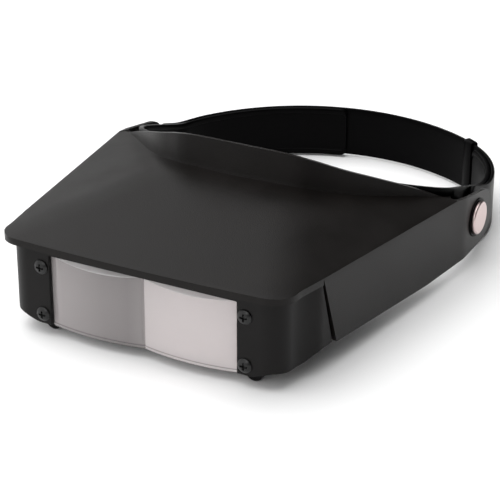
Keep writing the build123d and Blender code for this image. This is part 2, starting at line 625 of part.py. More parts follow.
for side, word in ((1, "left"), (-1, "right")):
    with BuildPart() as strap_stud:
        head_x = BAND_HALF + strap_outer + HEAD_GAP
        add(axle(STUD_RADIUS, *both_sides(side, (BAND_HALF, head_x)), *STUD))
        add(axle(STUD_HEAD_RADIUS, *both_sides(side, (head_x, head_x + STUD_HEAD)), *STUD))
        add(axle(STUD_HEAD_RADIUS, *both_sides(side, (BAND_HALF - 1, BAND_HALF)), *STUD))
    finish(strap_stud, f"strap_stud_{word}")

    with BuildPart() as pivot_post:
        flange_x = (BAND_HALF - POST_FLANGE, BAND_HALF)
        add(axle(POST_RADIUS, *both_sides(side, (BAND_HALF, CAP_FACE + CAP_SOCKET)), *PIVOT))
        add(axle(POST_FLANGE_RADIUS, *both_sides(side, flange_x), *PIVOT))
    finish(pivot_post, f"pivot_post_{word}")

    with BuildPart() as pivot_spacer:
        spacer_x = both_sides(side, (arms_outer, EAR_INNER - HEAD_GAP))
        add(axle(SPACER_RADIUS, *spacer_x, *PIVOT))
        add(axle(POST_RADIUS, *spacer_x, *PIVOT), mode=Mode.SUBTRACT)
    finish(pivot_spacer, f"pivot_spacer_{word}")

    with BuildPart() as pivot_bush:
        add(axle(BUSH_RADIUS, *both_sides(side, (EAR_INNER, EAR_OUTER)), *PIVOT))
        add(axle(BUSH_RIM_RADIUS, *both_sides(side, (EAR_OUTER, EAR_OUTER + BUSH_RIM)), *PIVOT))
        through = both_sides(side, THROUGH_SIDE)
        add(axle(POST_RADIUS + RUNNING_FIT, *through, *PIVOT), mode=Mode.SUBTRACT)
    finish(pivot_bush, f"pivot_bush_{word}")

    with BuildPart() as pivot_cap:
        add(axle(CAP_RADIUS, *both_sides(side, (CAP_FACE, CAP_TOP)), *PIVOT))
        fillet(pivot_cap.faces().sort_by(Axis.X)[-1 if side > 0 else 0].edges(), CAP_ROUND)
        socket_x = both_sides(side, (CAP_FACE - 1, CAP_FACE + CAP_SOCKET))
        add(axle(POST_RADIUS, *socket_x, *PIVOT), mode=Mode.SUBTRACT)
    finish(pivot_cap, f"pivot_cap_{word}")
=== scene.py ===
"""Looks of the head visor magnifier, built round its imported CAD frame. Blender units are metres."""

import json
import math

import bmesh
import bpy
import numpy as np
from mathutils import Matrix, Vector


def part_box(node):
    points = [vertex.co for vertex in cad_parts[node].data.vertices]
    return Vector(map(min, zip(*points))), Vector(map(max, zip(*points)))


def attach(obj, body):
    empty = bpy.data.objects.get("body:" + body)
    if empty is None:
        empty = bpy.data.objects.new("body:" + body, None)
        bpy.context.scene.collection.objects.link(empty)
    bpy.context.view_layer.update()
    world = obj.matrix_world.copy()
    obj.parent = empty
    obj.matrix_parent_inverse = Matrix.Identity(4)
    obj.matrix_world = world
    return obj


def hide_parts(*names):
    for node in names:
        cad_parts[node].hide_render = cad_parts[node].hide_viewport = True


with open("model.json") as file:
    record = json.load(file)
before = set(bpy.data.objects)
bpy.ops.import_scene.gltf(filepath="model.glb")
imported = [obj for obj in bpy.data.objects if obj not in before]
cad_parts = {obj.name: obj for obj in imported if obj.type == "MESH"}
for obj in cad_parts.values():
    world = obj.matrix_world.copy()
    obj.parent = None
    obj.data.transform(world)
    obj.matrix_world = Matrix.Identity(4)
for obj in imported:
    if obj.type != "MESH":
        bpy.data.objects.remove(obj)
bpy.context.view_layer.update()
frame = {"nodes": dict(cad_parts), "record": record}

MM = 0.001
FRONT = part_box("front_frame")[0].y  # front face of the lens frame
CAP_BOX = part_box("pivot_cap_left")
PIVOT_ALONG = (CAP_BOX[0].y + CAP_BOX[1].y) / 2 / MM - FRONT / MM
PIVOT_UP = (CAP_BOX[0].z + CAP_BOX[1].z) / 2 / MM
# the shapes' named lengths are in mm, and "along" is the distance behind FRONT


# ---------------------------------------------------------------- camera
CAMERA_AZIMUTH = 27.63
CAMERA_ELEVATION = 26.0
CAMERA_PLACE = (0.3818, FRONT - 0.6282, 0.4121)
CAMERA_LENS = 138.7


def make_camera():
    """Camera at the product view's angle: in front, to the object's left, looking down."""
    data = bpy.data.cameras.new("camera")
    data.lens = CAMERA_LENS
    data.sensor_width = 36.0
    data.clip_end = 20.0
    camera = bpy.data.objects.new("camera", data)
    bpy.context.scene.collection.objects.link(camera)
    a = math.radians(CAMERA_AZIMUTH)
    e = math.radians(CAMERA_ELEVATION)
    back = Vector((math.sin(a) * math.cos(e), -math.cos(a) * math.cos(e), math.sin(e)))
    camera.rotation_euler = back.to_track_quat("Z", "Y").to_euler()
    camera.location = CAMERA_PLACE
    bpy.context.scene.camera = camera


make_camera()


# ---------------------------------------------------------------- materials
LENS_BOTTOM = 5.0  # lower edge of the fixed lens plate
LENS_PAINTED_LINES_TOP = 8.0  # the painted dark lines along the plate's lower edge run up to this height
LENS_PAINTED_SHADE_HALF = 46.5  # half of the width over which the lens's painted shade changes
LENS_PAINTED_SHADE_TONES = ((0.0, 0.60), (0.06, 0.48), (0.3, 0.37), (0.42, 0.345), (0.492, 0.41), (0.508, 0.80),
              (1.0, 0.85))  # share of the width from -X, brightness of the painted shade: darker over the -X zone, paler over the +X zone
# painted shade: two dark lines along the lens's lower edge, as share of the height band and brightness
LENS_PAINTED_EDGE_LINES = ((0.0, 0.3), (0.2, 0.36), (0.3, 1.0), (0.52, 1.0), (0.66, 0.45), (0.86, 1.0))
# white painted highlight on the lens's faces that point upwards, at its top edge
PAINTED_TOP_HIGHLIGHT = (1.0, 0.98, 0.98, 1)


def new_material(name):
    """Material whose node tree holds only a Principled shader: the material, its tree and the shader."""
    material = bpy.data.materials.new(name)
    material.use_nodes = True
    tree = material.node_tree
    tree.nodes.clear()
    output = tree.nodes.new("ShaderNodeOutputMaterial")
    shader = tree.nodes.new("ShaderNodeBsdfPrincipled")
    tree.links.new(shader.outputs["BSDF"], output.inputs["Surface"])
    return material, tree, shader


def noise(tree, place, scale, detail, roughness=0.5):
    """Noise texture in the object's own coordinates."""
    texture = tree.nodes.new("ShaderNodeTexNoise")
    texture.inputs["Scale"].default_value = scale
    texture.inputs["Detail"].default_value = detail
    texture.inputs["Roughness"].default_value = roughness
    tree.links.new(place.outputs["Object"], texture.inputs["Vector"])
    return texture


def map_range(tree, source, from_range, to_range=(0.0, 1.0)):
    """Output that carries the source from one range to another."""
    node = tree.nodes.new("ShaderNodeMapRange")
    node.inputs["From Min"].default_value = from_range[0]
    node.inputs["From Max"].default_value = from_range[1]
    node.inputs["To Min"].default_value = to_range[0]
    node.inputs["To Max"].default_value = to_range[1]
    tree.links.new(source, node.inputs["Value"])
    return node.outputs["Result"]


def colour_ramp(tree, source, stops):
    """Output of a colour ramp through stops of position and colour."""
    node = tree.nodes.new("ShaderNodeValToRGB")
    elements = node.color_ramp.elements
    for index, (spot, colour) in enumerate(stops):
        element = elements[index] if index < 2 else elements.new(spot)
        element.position = spot
        element.color = (*colour, 1)
    tree.links.new(source, node.inputs["Fac"])
    return node.outputs["Color"]


def colour_mix(tree, blend_type):
    """Colour mix node, still without its inputs."""
    node = tree.nodes.new("ShaderNodeMix")
    node.data_type = "RGBA"
    node.blend_type = blend_type
    return node


def textured_plastic(name, dark, light, grain_mm, depth, rough, specular):
    """Moulded plastic: spark-eroded grain, faint cloudy gloss changes and slightly paler worn patches."""
    material, tree, shader = new_material(name)
    place = tree.nodes.new("ShaderNodeTexCoord")
    grain = noise(tree, place, 1.0 / (grain_mm * MM), 3.0, 0.6)
    cloud = noise(tree, place, 35.0, 4.0)
    bump = tree.nodes.new("ShaderNodeBump")
    bump.inputs["Strength"].default_value = depth
    bump.inputs["Distance"].default_value = 0.2 * MM
    tree.links.new(grain.outputs["Fac"], bump.inputs["Height"])
    tree.links.new(bump.outputs["Normal"], shader.inputs["Normal"])
    grain_share = 0.35
    blend = tree.nodes.new("ShaderNodeMath")
    blend.operation = "MULTIPLY_ADD"
    blend.inputs[1].default_value = grain_share
    tree.links.new(grain.outputs["Fac"], blend.inputs[0])
    tree.links.new(cloud.outputs["Fac"], blend.inputs[2])
    colour = colour_ramp(tree, blend.outputs["Value"], ((0.45, dark), (0.95, light)))
    tree.links.new(colour, shader.inputs["Base Color"])
    gloss = map_range(tree, cloud.outputs["Fac"], (0.3, 0.7), rough)
    tree.links.new(gloss, shader.inputs["Roughness"])
    shader.inputs["Specular IOR Level"].default_value = specular
    return material


def clear_acrylic(name, tint, haze):
    """Polished acrylic with a faint haze and uneven gloss, with painted shade across its width, painted dark
    lines along the lower edge and a painted white highlight on the faces that point upwards.
    """
    material, tree, shader = new_material(name)
    place = tree.nodes.new("ShaderNodeTexCoord")
    smear = noise(tree, place, 60.0, 5.0)
    gloss = map_range(tree, smear.outputs["Fac"], (0.35, 0.75), (0.015, 0.06))
    tree.links.new(gloss, shader.inputs["Roughness"])
    split = tree.nodes.new("ShaderNodeSeparateXYZ")
    tree.links.new(place.outputs["Object"], split.inputs["Vector"])
    # painted shade: the -X zone darker and the +X zone paler, for the shaded floor seen through the lens
    across = map_range(tree, split.outputs["X"], (-LENS_PAINTED_SHADE_HALF * MM, LENS_PAINTED_SHADE_HALF * MM))
    tone = colour_ramp(tree, across, [(spot, [part * share for part in tint]) for spot, share in LENS_PAINTED_SHADE_TONES])
    # painted shade: dark lines along the lower edge, by height
    upwards = map_range(tree, split.outputs["Z"], (LENS_BOTTOM * MM, LENS_PAINTED_LINES_TOP * MM))
    rim = colour_ramp(tree, upwards, [(spot, (share, share * 0.99, share * 0.98))
                                      for spot, share in LENS_PAINTED_EDGE_LINES])
    shade = colour_mix(tree, "MULTIPLY")
    shade.inputs["Factor"].default_value = 1.0
    tree.links.new(tone, shade.inputs["A"])
    tree.links.new(rim, shade.inputs["B"])
    # painted highlight: faces that point upwards are mixed towards white
    facing = tree.nodes.new("ShaderNodeSeparateXYZ")
    tree.links.new(place.outputs["Normal"], facing.inputs["Vector"])
    painted_highlight_mask = map_range(tree, facing.outputs["Z"], (0.12, 0.3))
    painted_highlight = colour_mix(tree, "MIX")
    tree.links.new(painted_highlight_mask, painted_highlight.inputs["Factor"])
    tree.links.new(shade.outputs["Result"], painted_highlight.inputs["A"])
    painted_highlight.inputs["B"].default_value = PAINTED_TOP_HIGHLIGHT
    tree.links.new(painted_highlight.outputs["Result"], shader.inputs["Base Color"])
    shader.inputs["Transmission Weight"].default_value = 1.0 - haze
    shader.inputs["IOR"].default_value = 1.49
    return material


def plated_metal(name, colour):
    """Polished plate with soft wear."""
    material, tree, shader = new_material(name)
    place = tree.nodes.new("ShaderNodeTexCoord")
    wear = noise(tree, place, 400.0, 4.0)
    gloss = map_range(tree, wear.outputs["Fac"], (0.0, 1.0), (0.22, 0.38))
    tree.links.new(gloss, shader.inputs["Roughness"])
    worn = [part * 0.9 for part in colour]
    tone = colour_ramp(tree, wear.outputs["Fac"], ((0.0, worn), (1.0, colour)))
    tree.links.new(tone, shader.inputs["Base Color"])
    shader.inputs["Metallic"].default_value = 1.0
    return material


# name, darkest and lightest colour, grain in mm, grain depth, roughness range, specular level
HOOD_PLASTIC = textured_plastic("hood_plastic_look", (0.0040, 0.0033, 0.0030), (0.0082, 0.0069, 0.0064),
                                0.55, 0.5, (0.28, 0.38), 0.15)
FRAME_PLASTIC = textured_plastic("frame_plastic_look", (0.0045, 0.0040, 0.0039), (0.0082, 0.0074, 0.0073),
                                 0.5, 0.3, (0.36, 0.46), 0.13)
BAND_PLASTIC = textured_plastic("band_plastic_look", (0.0006, 0.0005, 0.0006), (0.0015, 0.0014, 0.0016),
                                1.2, 0.12, (0.28, 0.40), 0.035)
SCREW_STEEL = textured_plastic("black_screw_look", (0.002, 0.002, 0.002), (0.005, 0.005, 0.005),
                               0.8, 0.15, (0.25, 0.36), 0.35)
FOAM = textured_plastic("pad_foam_look", (0.004, 0.004, 0.0045), (0.012, 0.012, 0.013),
                        0.35, 0.9, (0.8, 0.95), 0.15)
LENS = clear_acrylic("clear_lens_look", (1.0, 0.935, 0.945), 0.5)
CAP_METAL = plated_metal("cap_metal_look", (0.62, 0.50, 0.485))

SLOT_LOOKS = {
    "hood_plastic": HOOD_PLASTIC,
    "frame_plastic": FRAME_PLASTIC,
    "band_plastic": BAND_PLASTIC,
    "black_screw": SCREW_STEEL,
    "cap_metal": CAP_METAL,
    "clear_lens": LENS,
    "pad_foam": FOAM,
}
NODE_SLOTS = {row["node"]: row["material_slot"] for row in frame["record"]["subparts"]}
for node, piece in frame["nodes"].items():
    for index in range(max(1, len(piece.data.materials))):
        if not piece.material_slots:
            piece.data.materials.append(SLOT_LOOKS[NODE_SLOTS[node]])
        piece.material_slots[index].material = SLOT_LOOKS[NODE_SLOTS[node]]


# ---------------------------------------------------------------- mesh helpers
WELD_DISTANCE = 1e-6


def add_piece(name, verts, faces, body, slot, smooth_angle=35.0):
    """New mesh piece that rides on a body and takes a slot's look."""
    mesh = bpy.data.meshes.new(name)
    mesh.from_pydata([tuple(v) for v in verts], [], faces)
    piece = bpy.data.objects.new(name, mesh)
    bpy.context.scene.collection.objects.link(piece)
    tidy_mesh(mesh, smooth_angle)
    mesh.materials.append(SLOT_LOOKS[slot])
    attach(piece, body)
    return piece


def tidy_mesh(mesh, smooth_angle):
    """Welds doubles, points the faces outwards and smooths all but the sharp edges."""
    work = bmesh.new()
    work.from_mesh(mesh)
    bmesh.ops.remove_doubles(work, verts=work.verts, dist=WELD_DISTANCE)
    bmesh.ops.recalc_face_normals(work, faces=work.faces)
    for face in work.faces:
        face.smooth = True
    limit = math.radians(smooth_angle)
    for edge in work.edges:
        edge.smooth = not (len(edge.link_faces) == 2 and edge.calc_face_angle(0) > limit)
    work.to_mesh(mesh)
    work.free()


def coons(bottom, top, left, right):
    """Grid of points between four boundary curves that meet at their ends (rows run from bottom to top)."""
    bottom, top, left, right = (np.asarray(curve, float) for curve in (bottom, top, left, right))
    u = np.linspace(0, 1, len(bottom))[None, :, None]
    v = np.linspace(0, 1, len(left))[:, None, None]
    across = (1 - v) * bottom[None] + v * top[None]
    upwards = (1 - u) * left[:, None] + u * right[:, None]
    corners = (1 - v) * ((1 - u) * bottom[0] + u * bottom[-1]) + v * ((1 - u) * top[0] + u * top[-1])
    return across + upwards - corners


def grid_faces(rows, columns, start=0):
    """Quads of a grid of points listed row by row."""
    corners = [start + r * columns + c for r in range(rows - 1) for c in range(columns - 1)]
    return [(a, a + 1, a + columns + 1, a + columns) for a in corners]


def arc_points(centre, radius, start, end, count):
    """Points on an arc, angles in degrees."""
    angles = np.radians(np.linspace(start, end, count))
    return np.stack([centre[0] + radius * np.cos(angles), centre[1] + radius * np.sin(angles)], axis=1)


def resample(points, count):
    """Even points along a polyline."""
    points = np.asarray(points, float)
    lengths = np.concatenate([[0], np.cumsum(np.linalg.norm(np.diff(points, axis=0), axis=1))])
    wanted = np.linspace(0, lengths[-1], count)
    return np.stack([np.interp(wanted, lengths, points[:, i]) for i in range(points.shape[1])], axis=1)


def smooth_curve(points, count):
    """Even points along a smooth curve through the given ones."""
    points = np.asarray(points, float)
    padded = np.vstack([2 * points[0] - points[1], points, 2 * points[-1] - points[-2]])
    out = []
    for i in range(1, len(padded) - 2):
        before, here, there, after = padded[i - 1:i + 3]
        for t in np.linspace(0, 1, 24, endpoint=False):
            bend = 2 * before - 5 * here + 4 * there - after
            twist = 3 * here - before - 3 * there + after
            out.append(0.5 * (2 * here + (there - before) * t + bend * t ** 2 + twist * t ** 3))
    out.append(padded[-2])
    return resample(out, count)


def solidify(piece, thickness, offset=-1.0, even=True):
    """Gives a sheet its wall thickness."""
    modifier = piece.modifiers.new("wall", "SOLIDIFY")
    modifier.thickness = thickness
    modifier.offset = offset
    modifier.use_even_offset = even
    modifier.use_quality_normals = True


def round_edges(piece, width, angle=40.0):
    """Small radius on every sharp edge."""
    modifier = piece.modifiers.new("edges", "BEVEL")
    modifier.width = width
    modifier.segments = 3
    modifier.limit_method = "ANGLE"
    modifier.angle_limit = math.radians(angle)
    modifier.use_clamp_overlap = True
    modifier.harden_normals = True


def apply_all(piece):
    """Applies every modifier of a piece, in order."""
    graph = bpy.context.evaluated_depsgraph_get()
    result = bpy.data.meshes.new_from_object(piece.evaluated_get(graph))
    piece.modifiers.clear()
    old = piece.data
    piece.data = result
    bpy.data.meshes.remove(old)


# radii in mm on the edges of the nodes that show as they are
EDGE_RADII = {
    "flip_bracket_left": 0.4, "flip_bracket_right": 0.4, "lens_screws": 0.18, "flip_lens_screws": 0.3,
    "flip_pins": 0.3, "frame_screws": 0.3, "frame_bosses": 0.3,
    "pivot_cap_left": 0.2, "pivot_cap_right": 0.2, "pivot_post_left": 0.3, "pivot_post_right": 0.3,
    "pivot_spacer_left": 0.4, "pivot_spacer_right": 0.4, "pivot_bush_left": 0.15, "pivot_bush_right": 0.15,
    "strap_stud_left": 0.3, "strap_stud_right": 0.3,
}
for node, radius in EDGE_RADII.items():
    piece = frame["nodes"][node]
    weld = piece.modifiers.new("weld", "WELD")
    weld.merge_threshold = WELD_DISTANCE
    round_edges(piece, radius * MM, 35)


# ---------------------------------------------------------------- hood
LIP_FRONT = -4.6  # along, the roof's front edge at its corners
LIP_BOW = 1.4  # extra forward bow of that edge in the middle
LIP_RADIUS = 12.0
LIP_WIDER = 1.8  # the corner arc starts this far outside the roof's half width
LIP_DROP = 3.2  # height of the front edge
ROOF_HALF = 70.0  # half width at the front edge
ROOF_FRONT_TOP = 48.0
ROOF_RISE = 0.0755  # slope of the middle panel
FACET_FALL = (0.2036, 0.0117)  # slope of a side panel outwards and backwards
FOLD_SOFTNESS = 2.2
NOTCH_HALF = 91.2  # half width where the roof meets the ears
NOTCH_ALONG = 134.0
EAR_OUTER = 92.5
EAR_CENTRE = (163.4, 22.8)  # along, height
EAR_RADIUS = 13.2
SEAM_TOP = 25.6
SEAM_BOTTOM = (36.2, 12.0)  # along, height
SKIRT = (110.0, 8.6)  # along, height of the lower edge's bend between the seam and the ear
BROW_LEAN = 2.4
FOLD_ANGLE = 28.0  # folds sharper than this are rounded
HOOD_WALL = 2.0
BROW_PLAN = [(0, 89.0), (26, 90.0), (37, 93.5), (53, 103.0), (83, 131.0), (NOTCH_HALF, NOTCH_ALONG)]
BROW_TOP = [(0, 69.8), (25, 69.2), (37, 66.6), (53, 60.4), (70, 51.8), (84, 43.9), (NOTCH_HALF, 42.3)]


def side_half(distance):
    """Half width of the hood this far behind the front face."""
    flare = (NOTCH_HALF - ROOF_HALF) / (NOTCH_ALONG - LIP_FRONT)
    return np.minimum(EAR_OUTER, ROOF_HALF + (distance - LIP_FRONT) * flare)


def roof_height(x, distance):
    """Height of the roof: a middle panel and two side facets with a soft fold between them."""
    behind_lip = distance - LIP_FRONT
    middle = ROOF_FRONT_TOP + ROOF_RISE * behind_lip
    facet = ROOF_FRONT_TOP - FACET_FALL[0] * (np.abs(x) - ROOF_HALF) - FACET_FALL[1] * behind_lip
    gap = np.clip(0.5 + 0.5 * (facet - middle) / FOLD_SOFTNESS, 0, 1)
    return facet * (1 - gap) + middle * gap - FOLD_SOFTNESS * gap * (1 - gap)


def build_hood():
    """Roof, rolled front lip, side panels with round ears, and the upturned brow, in one shell."""
    across = 57  # points over the roof's width
    nose = 9  # points along its side from the corner to the seam
    flank = 33  # and from the seam to the notch
    corner = (ROOF_HALF + LIP_WIDER - LIP_RADIUS, LIP_FRONT + LIP_RADIUS)
    corner_front = arc_points(corner, LIP_RADIUS, -90, -45, 7)
    corner_side = arc_points(corner, LIP_RADIUS, -45, 8, 7)
    bow = [(x, LIP_FRONT - LIP_BOW * (1 - (x / corner[0]) ** 2)) for x in np.linspace(0, corner[0], 12)]
    front_half = resample(bow[:-1] + [tuple(p) for p in corner_front], across // 2 + 1)
    front = np.vstack([front_half[::-1] * (-1, 1), front_half[1:]])
    seam_x = float(side_half(SEAM_TOP))
    side_front = resample([tuple(p) for p in corner_side] + [(seam_x, SEAM_TOP)], nose)
    side_back = resample([(seam_x, SEAM_TOP), (NOTCH_HALF, NOTCH_ALONG)], flank)
    right = np.vstack([side_front, side_back[1:]])
    brow_half = smooth_curve(BROW_PLAN, across // 2 + 1)
    lean = np.linspace(1, 0, across // 2 + 1)[:, None] * (0, -BROW_LEAN)
    rear = np.vstack([(brow_half + lean)[::-1] * (-1, 1), (brow_half + lean)[1:]])
    grid = coons(front, rear, right * (-1, 1), right)
    rows = len(right)
    height = roof_height(grid[..., 0], grid[..., 1])
    roof = np.dstack([grid, height])
    verts = [roof.reshape(-1, 3)]
    faces = grid_faces(rows, across)

    def patch(points):
        """Adds a grid of points to the shell."""
        start = sum(len(v) for v in verts)
        verts.append(points.reshape(-1, 3))
        faces.extend(grid_faces(points.shape[0], points.shape[1], start))

    # lip: down from the roof's edge between the two seams
    rim = np.vstack([roof[:nose, 0][::-1], roof[0, 1:-1], roof[:nose, -1]])
    patch(np.stack([rim, rim - (0, 0, LIP_DROP)]))
    # brow: from the roof's rear edge up to its own edge
    top_z = smooth_curve(BROW_TOP, across // 2 + 1)
    top_half = np.column_stack([brow_half, np.interp(brow_half[:, 0], top_z[:, 0], top_z[:, 1])])
    top = np.vstack([top_half[::-1] * (-1, 1, 1), top_half[1:]])
    share = np.linspace(0, 1, 9)[:, None, None]
    patch(roof[-1][None] * (1 - share) + top[None] * share)
    # side panels with ears
    high_arc = arc_points(EAR_CENTRE, EAR_RADIUS, 77, 40, 6)
    end_arc = arc_points(EAR_CENTRE, EAR_RADIUS, -40, 40, 13)
    low_arc = arc_points(EAR_CENTRE, EAR_RADIUS, -90, -40, 8)
    for side, column in ((1, -1), (-1, 0)):
        edge = roof[nose - 1:, column]
        ear_top = resample([tuple(edge[-1, 1:])] + [tuple(p) for p in high_arc], 19)
        high = np.vstack([edge[:, 1:], ear_top[1:]])
        low = resample([SEAM_BOTTOM, SKIRT] + [tuple(p) for p in low_arc], len(high))
        seam = resample([SEAM_BOTTOM, tuple(high[0])], 13)
        panel = coons(low, high, seam, end_arc)
        x = side * side_half(panel[..., 0])
        patch(np.dstack([x, panel]))
    points = np.vstack(verts) * MM
    points[:, 1] += FRONT
    hood = add_piece("hood_shell", points, faces, "visor", "hood_plastic", 180)
    hood.data.attributes.new("bevel_weight_edge", "FLOAT", "EDGE")
    work = bmesh.new()
    work.from_mesh(hood.data)
    layer = work.edges.layers.float.get("bevel_weight_edge")
    for edge in work.edges:
        if len(edge.link_faces) == 2 and math.degrees(edge.calc_face_angle(0)) > FOLD_ANGLE:
            edge[layer] = 1.0
    work.to_mesh(hood.data)
    work.free()
    fold = hood.modifiers.new("folds", "BEVEL")
    fold.width = 1.9 * MM
    fold.segments = 5
    fold.limit_method = "WEIGHT"
    fold.use_clamp_overlap = True
    solidify(hood, HOOD_WALL * MM, -1.0, False)
    round_edges(hood, 0.55 * MM, 50)
    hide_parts("visor_hood")


build_hood()


# ---------------------------------------------------------------- lens frame
FRAME_RADIUS = 10.0
FRAME_HALF = 68.0
FRAME_WALL = 2.5
POST_INNER = 46.5  # half width of the window
WINDOW_TOP = 40.7
FRAME_TOP = 45.7
FRAME_SEAM_TOP = (25.0, 46.0)  # along, height at the upper end of the frame's rear edge
FRAME_SEAM_LEAN = 8.4 / 33.2
FRAME_SEAM_LOW = 12.8  # height at its lower end
FRAME_INSET = 0.25  # the frame's side lies this far inside the hood's
FLARE_RUN = 14.0  # the sides widen to the hood's over this length
POST_BOTTOM = 6.5
# changes of the lower edge's height: size, and where each begins and ends
CORNER_RISE = (2.9, 51.5, 63.5)  # over the distance from the middle
CORNER_DIP = (0.6, 2.5, 9.0)  # along
SIDE_RISE = (4.05, 15.3, 26.5)  # along


def seam_front(height):
    """Distance behind the front face of the lens frame's rear edge at this height."""
    return FRAME_SEAM_TOP[0] + (FRAME_SEAM_TOP[1] - height) * FRAME_SEAM_LEAN


def eased(change, place):
    """Part of a change that is reached at a place, with soft ends."""
    size, first, last = change
    share = min(1.0, max(0.0, (place - first) / (last - first)))
    return size * share ** 2 * (3 - 2 * share)


def low_edge(off_middle, distance):
    """Height of the lens frame's lower edge."""
    corner = eased(CORNER_RISE, off_middle) - eased(CORNER_DIP, distance)
    return POST_BOTTOM + corner + eased(SIDE_RISE, distance)


def build_frame():
    """Lens frame: a band round the front and both corners, with the lens window open at the bottom."""
    side_front = FRAME_RADIUS + 1
    sides = np.linspace(1, 0, 12)[:-1]
    corner = arc_points((FRAME_HALF - FRAME_RADIUS, FRAME_RADIUS), FRAME_RADIUS, 0, -90, 13)
    window = np.linspace(POST_INNER, -POST_INNER, 25)
    post = np.linspace(FRAME_HALF - FRAME_RADIUS, POST_INNER, 12)[1:-1]
    half = [("side", share) for share in sides] + [("plan", tuple(p)) for p in corner]
    half += [("plan", (x, 0.0)) for x in post]
    columns = half + [("window", (x, 0.0)) for x in window]
    columns += [(kind, at) if kind == "side" else (kind, (-at[0], at[1])) for kind, at in half[::-1]]
    lower, upper = 10, 4  # points below and above the window's top
    verts = []
    for number, (kind, value) in enumerate(columns):
        sign = 1 if number < len(columns) / 2 else -1
        if kind == "side":
            distance = side_front + value * (seam_front(FRAME_SEAM_LOW) - side_front)
            off_middle = FRAME_HALF
        else:
            distance = value[1]
            off_middle = abs(value[0])
        heights = np.concatenate([np.linspace(low_edge(off_middle, distance), WINDOW_TOP, lower),
                                  np.linspace(WINDOW_TOP, FRAME_TOP, upper)[1:]])
        for height in heights:
            if kind == "side":
                back = side_front + value * (seam_front(height) - side_front)
                flush = side_half(back) - FRAME_INSET - FRAME_HALF
                blend = min(1.0, max(0.0, (back - FRAME_RADIUS) / FLARE_RUN))
                place = (sign * (FRAME_HALF + flush * blend ** 1.5), back)
            else:
                place = value
            verts.append((place[0], place[1], height))
    rows = lower + upper - 1
    faces = []
    for number in range(len(columns) - 1):
        in_window = columns[number][0] == "window" and columns[number + 1][0] == "window"
        for row in range(rows - 1):
            if in_window and row < lower - 1:
                continue
            a = number * rows + row
            faces.append((a, a + rows, a + rows + 1, a + 1))
    verts = np.array(verts) * MM
    verts[:, 1] += FRONT
    shell = add_piece("lens_frame", verts, faces, "visor", "frame_plastic", 60)
    if shell.data.polygons[len(faces) // 2].normal.y > 0:
        shell.data.flip_normals()
    solidify(shell, FRAME_WALL * MM)
    round_edges(shell, 0.45 * MM, 50)
    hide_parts("front_frame")


build_frame()


SEAM_FLANGE = ((22.0, 44.5), (31.5, 13.2), (41.5, 11.5), (33.0, 45.2))  # corners: along, height
FLANGE_INSET = 2.75


def build_seam_flanges():
    """Step behind each seam, on which the lens frame's side lies."""
    front_top, front_low, back_low, back_top = (np.array(corner) for corner in SEAM_FLANGE)
    high, wide = 9, 6
    for side, word in ((1, "left"), (-1, "right")):
        rows = []
        for share in np.linspace(0, 1, high):
            front_edge = front_low * (1 - share) + front_top * share
            back_edge = back_low * (1 - share) + back_top * share
            rows.append([front_edge * (1 - t) + back_edge * t for t in np.linspace(0, 1, wide)])
        grid = np.array(rows)
        inner = side_half(grid[..., 0]) - FLANGE_INSET
        points = np.dstack([side * inner, grid]).reshape(-1, 3) * MM
        points[:, 1] += FRONT
        piece = add_piece(f"seam_flange_{word}", points, grid_faces(high, wide), "visor", "hood_plastic")
        solidify(piece, 1.2 * MM, 0.0)
        round_edges(piece, 0.3 * MM)


build_seam_flanges()


# ---------------------------------------------------------------- headband
BAND_HALF = 82.5  # half width between the arms
BAND_HALF_HEIGHT = 13.2
BAND_FRONT_CENTRE = 148.0  # along, where the forehead's curve meets the straight arms
BAND_FRONT_DEPTH = 40.0
BAND_SIDE_END = 184.0  # along, where the straight arms end
BAND_APEX = 247.8  # along, the rearmost point
BAND_REAR = 96.0  # radius behind the head
BAND_SKEW = 4.0  # the rear curve's middle lies this far to +X
BAND_REST_HEIGHT = 14.4
BAND_SLOPE = 0.34
BAND_BEND = PIVOT_ALONG + (PIVOT_UP - BAND_REST_HEIGHT) / BAND_SLOPE  # along, where the rise begins
ARM_ENDS = (-16.0, 62.0)  # x of the far and the near arm's end
STRAP_START = 165.0  # along
STRAP_TRAVEL = 10.0
STUD = (180.0, 15.0, 2.4)  # along, height, half height of the slot
SLOT_CUTTER = (80.0, 92.0)  # x of the cutter's two ends, mirrored for the far side
PAD_HALF = 60.0
KEEPER_X = 56.5
KEEPER_INSIDE = (1.45, 4.9)  # middle of the bar inside and outside the strap
KEEPER_MARGIN = 0.5  # middle of the bar above the floor
KEEPER_CORNER = 1.1
# upper halves of the sections: offset outwards, depth below the upper edge
ARM_SECTION = ((0.0, 3.4), (0.0, 3.0), (-0.32, 2.7), (-0.45, 2.3), (-0.45, 0.55), (-0.32, 0.14), (0.0, 0.0),
               (1.35, 0.0), (1.68, 0.14), (1.8, 0.5), (1.8, 3.4))
STRAP_SECTION = ((2.25, 3.4), (2.25, 0.5), (2.36, 0.14), (2.65, 0.0), (3.6, 0.0), (3.88, 0.14), (4.0, 0.5),
                 (4.0, 3.4))
PAD_SECTION = ((-4.6, 7.0), (-4.9, 4.0), (-4.5, 2.2), (-3.6, 0.9), (-2.4, 0.2), (-1.2, 0.0), (-0.4, 0.4),
               (-0.15, 1.2), (-0.15, 7.0))
# whole section of the keeper's bar: across, out
KEEPER_SECTION = ((-3.3, 0), (-3.2, 0.3), (-2.9, 0.48), (0, 0.5), (2.9, 0.48), (3.2, 0.3), (3.3, 0),
                  (3.2, -0.3), (2.9, -0.48), (0, -0.5), (-2.9, -0.48), (-3.2, -0.3))


def loop_normals(loop):
    """Unit normals of a closed run of points, to the right of its direction."""
    step = np.roll(loop, -1, axis=0) - np.roll(loop, 1, axis=0)
    step /= np.linalg.norm(step, axis=1)[:, None]
    return np.stack([step[:, 1], -step[:, 0]], axis=1)


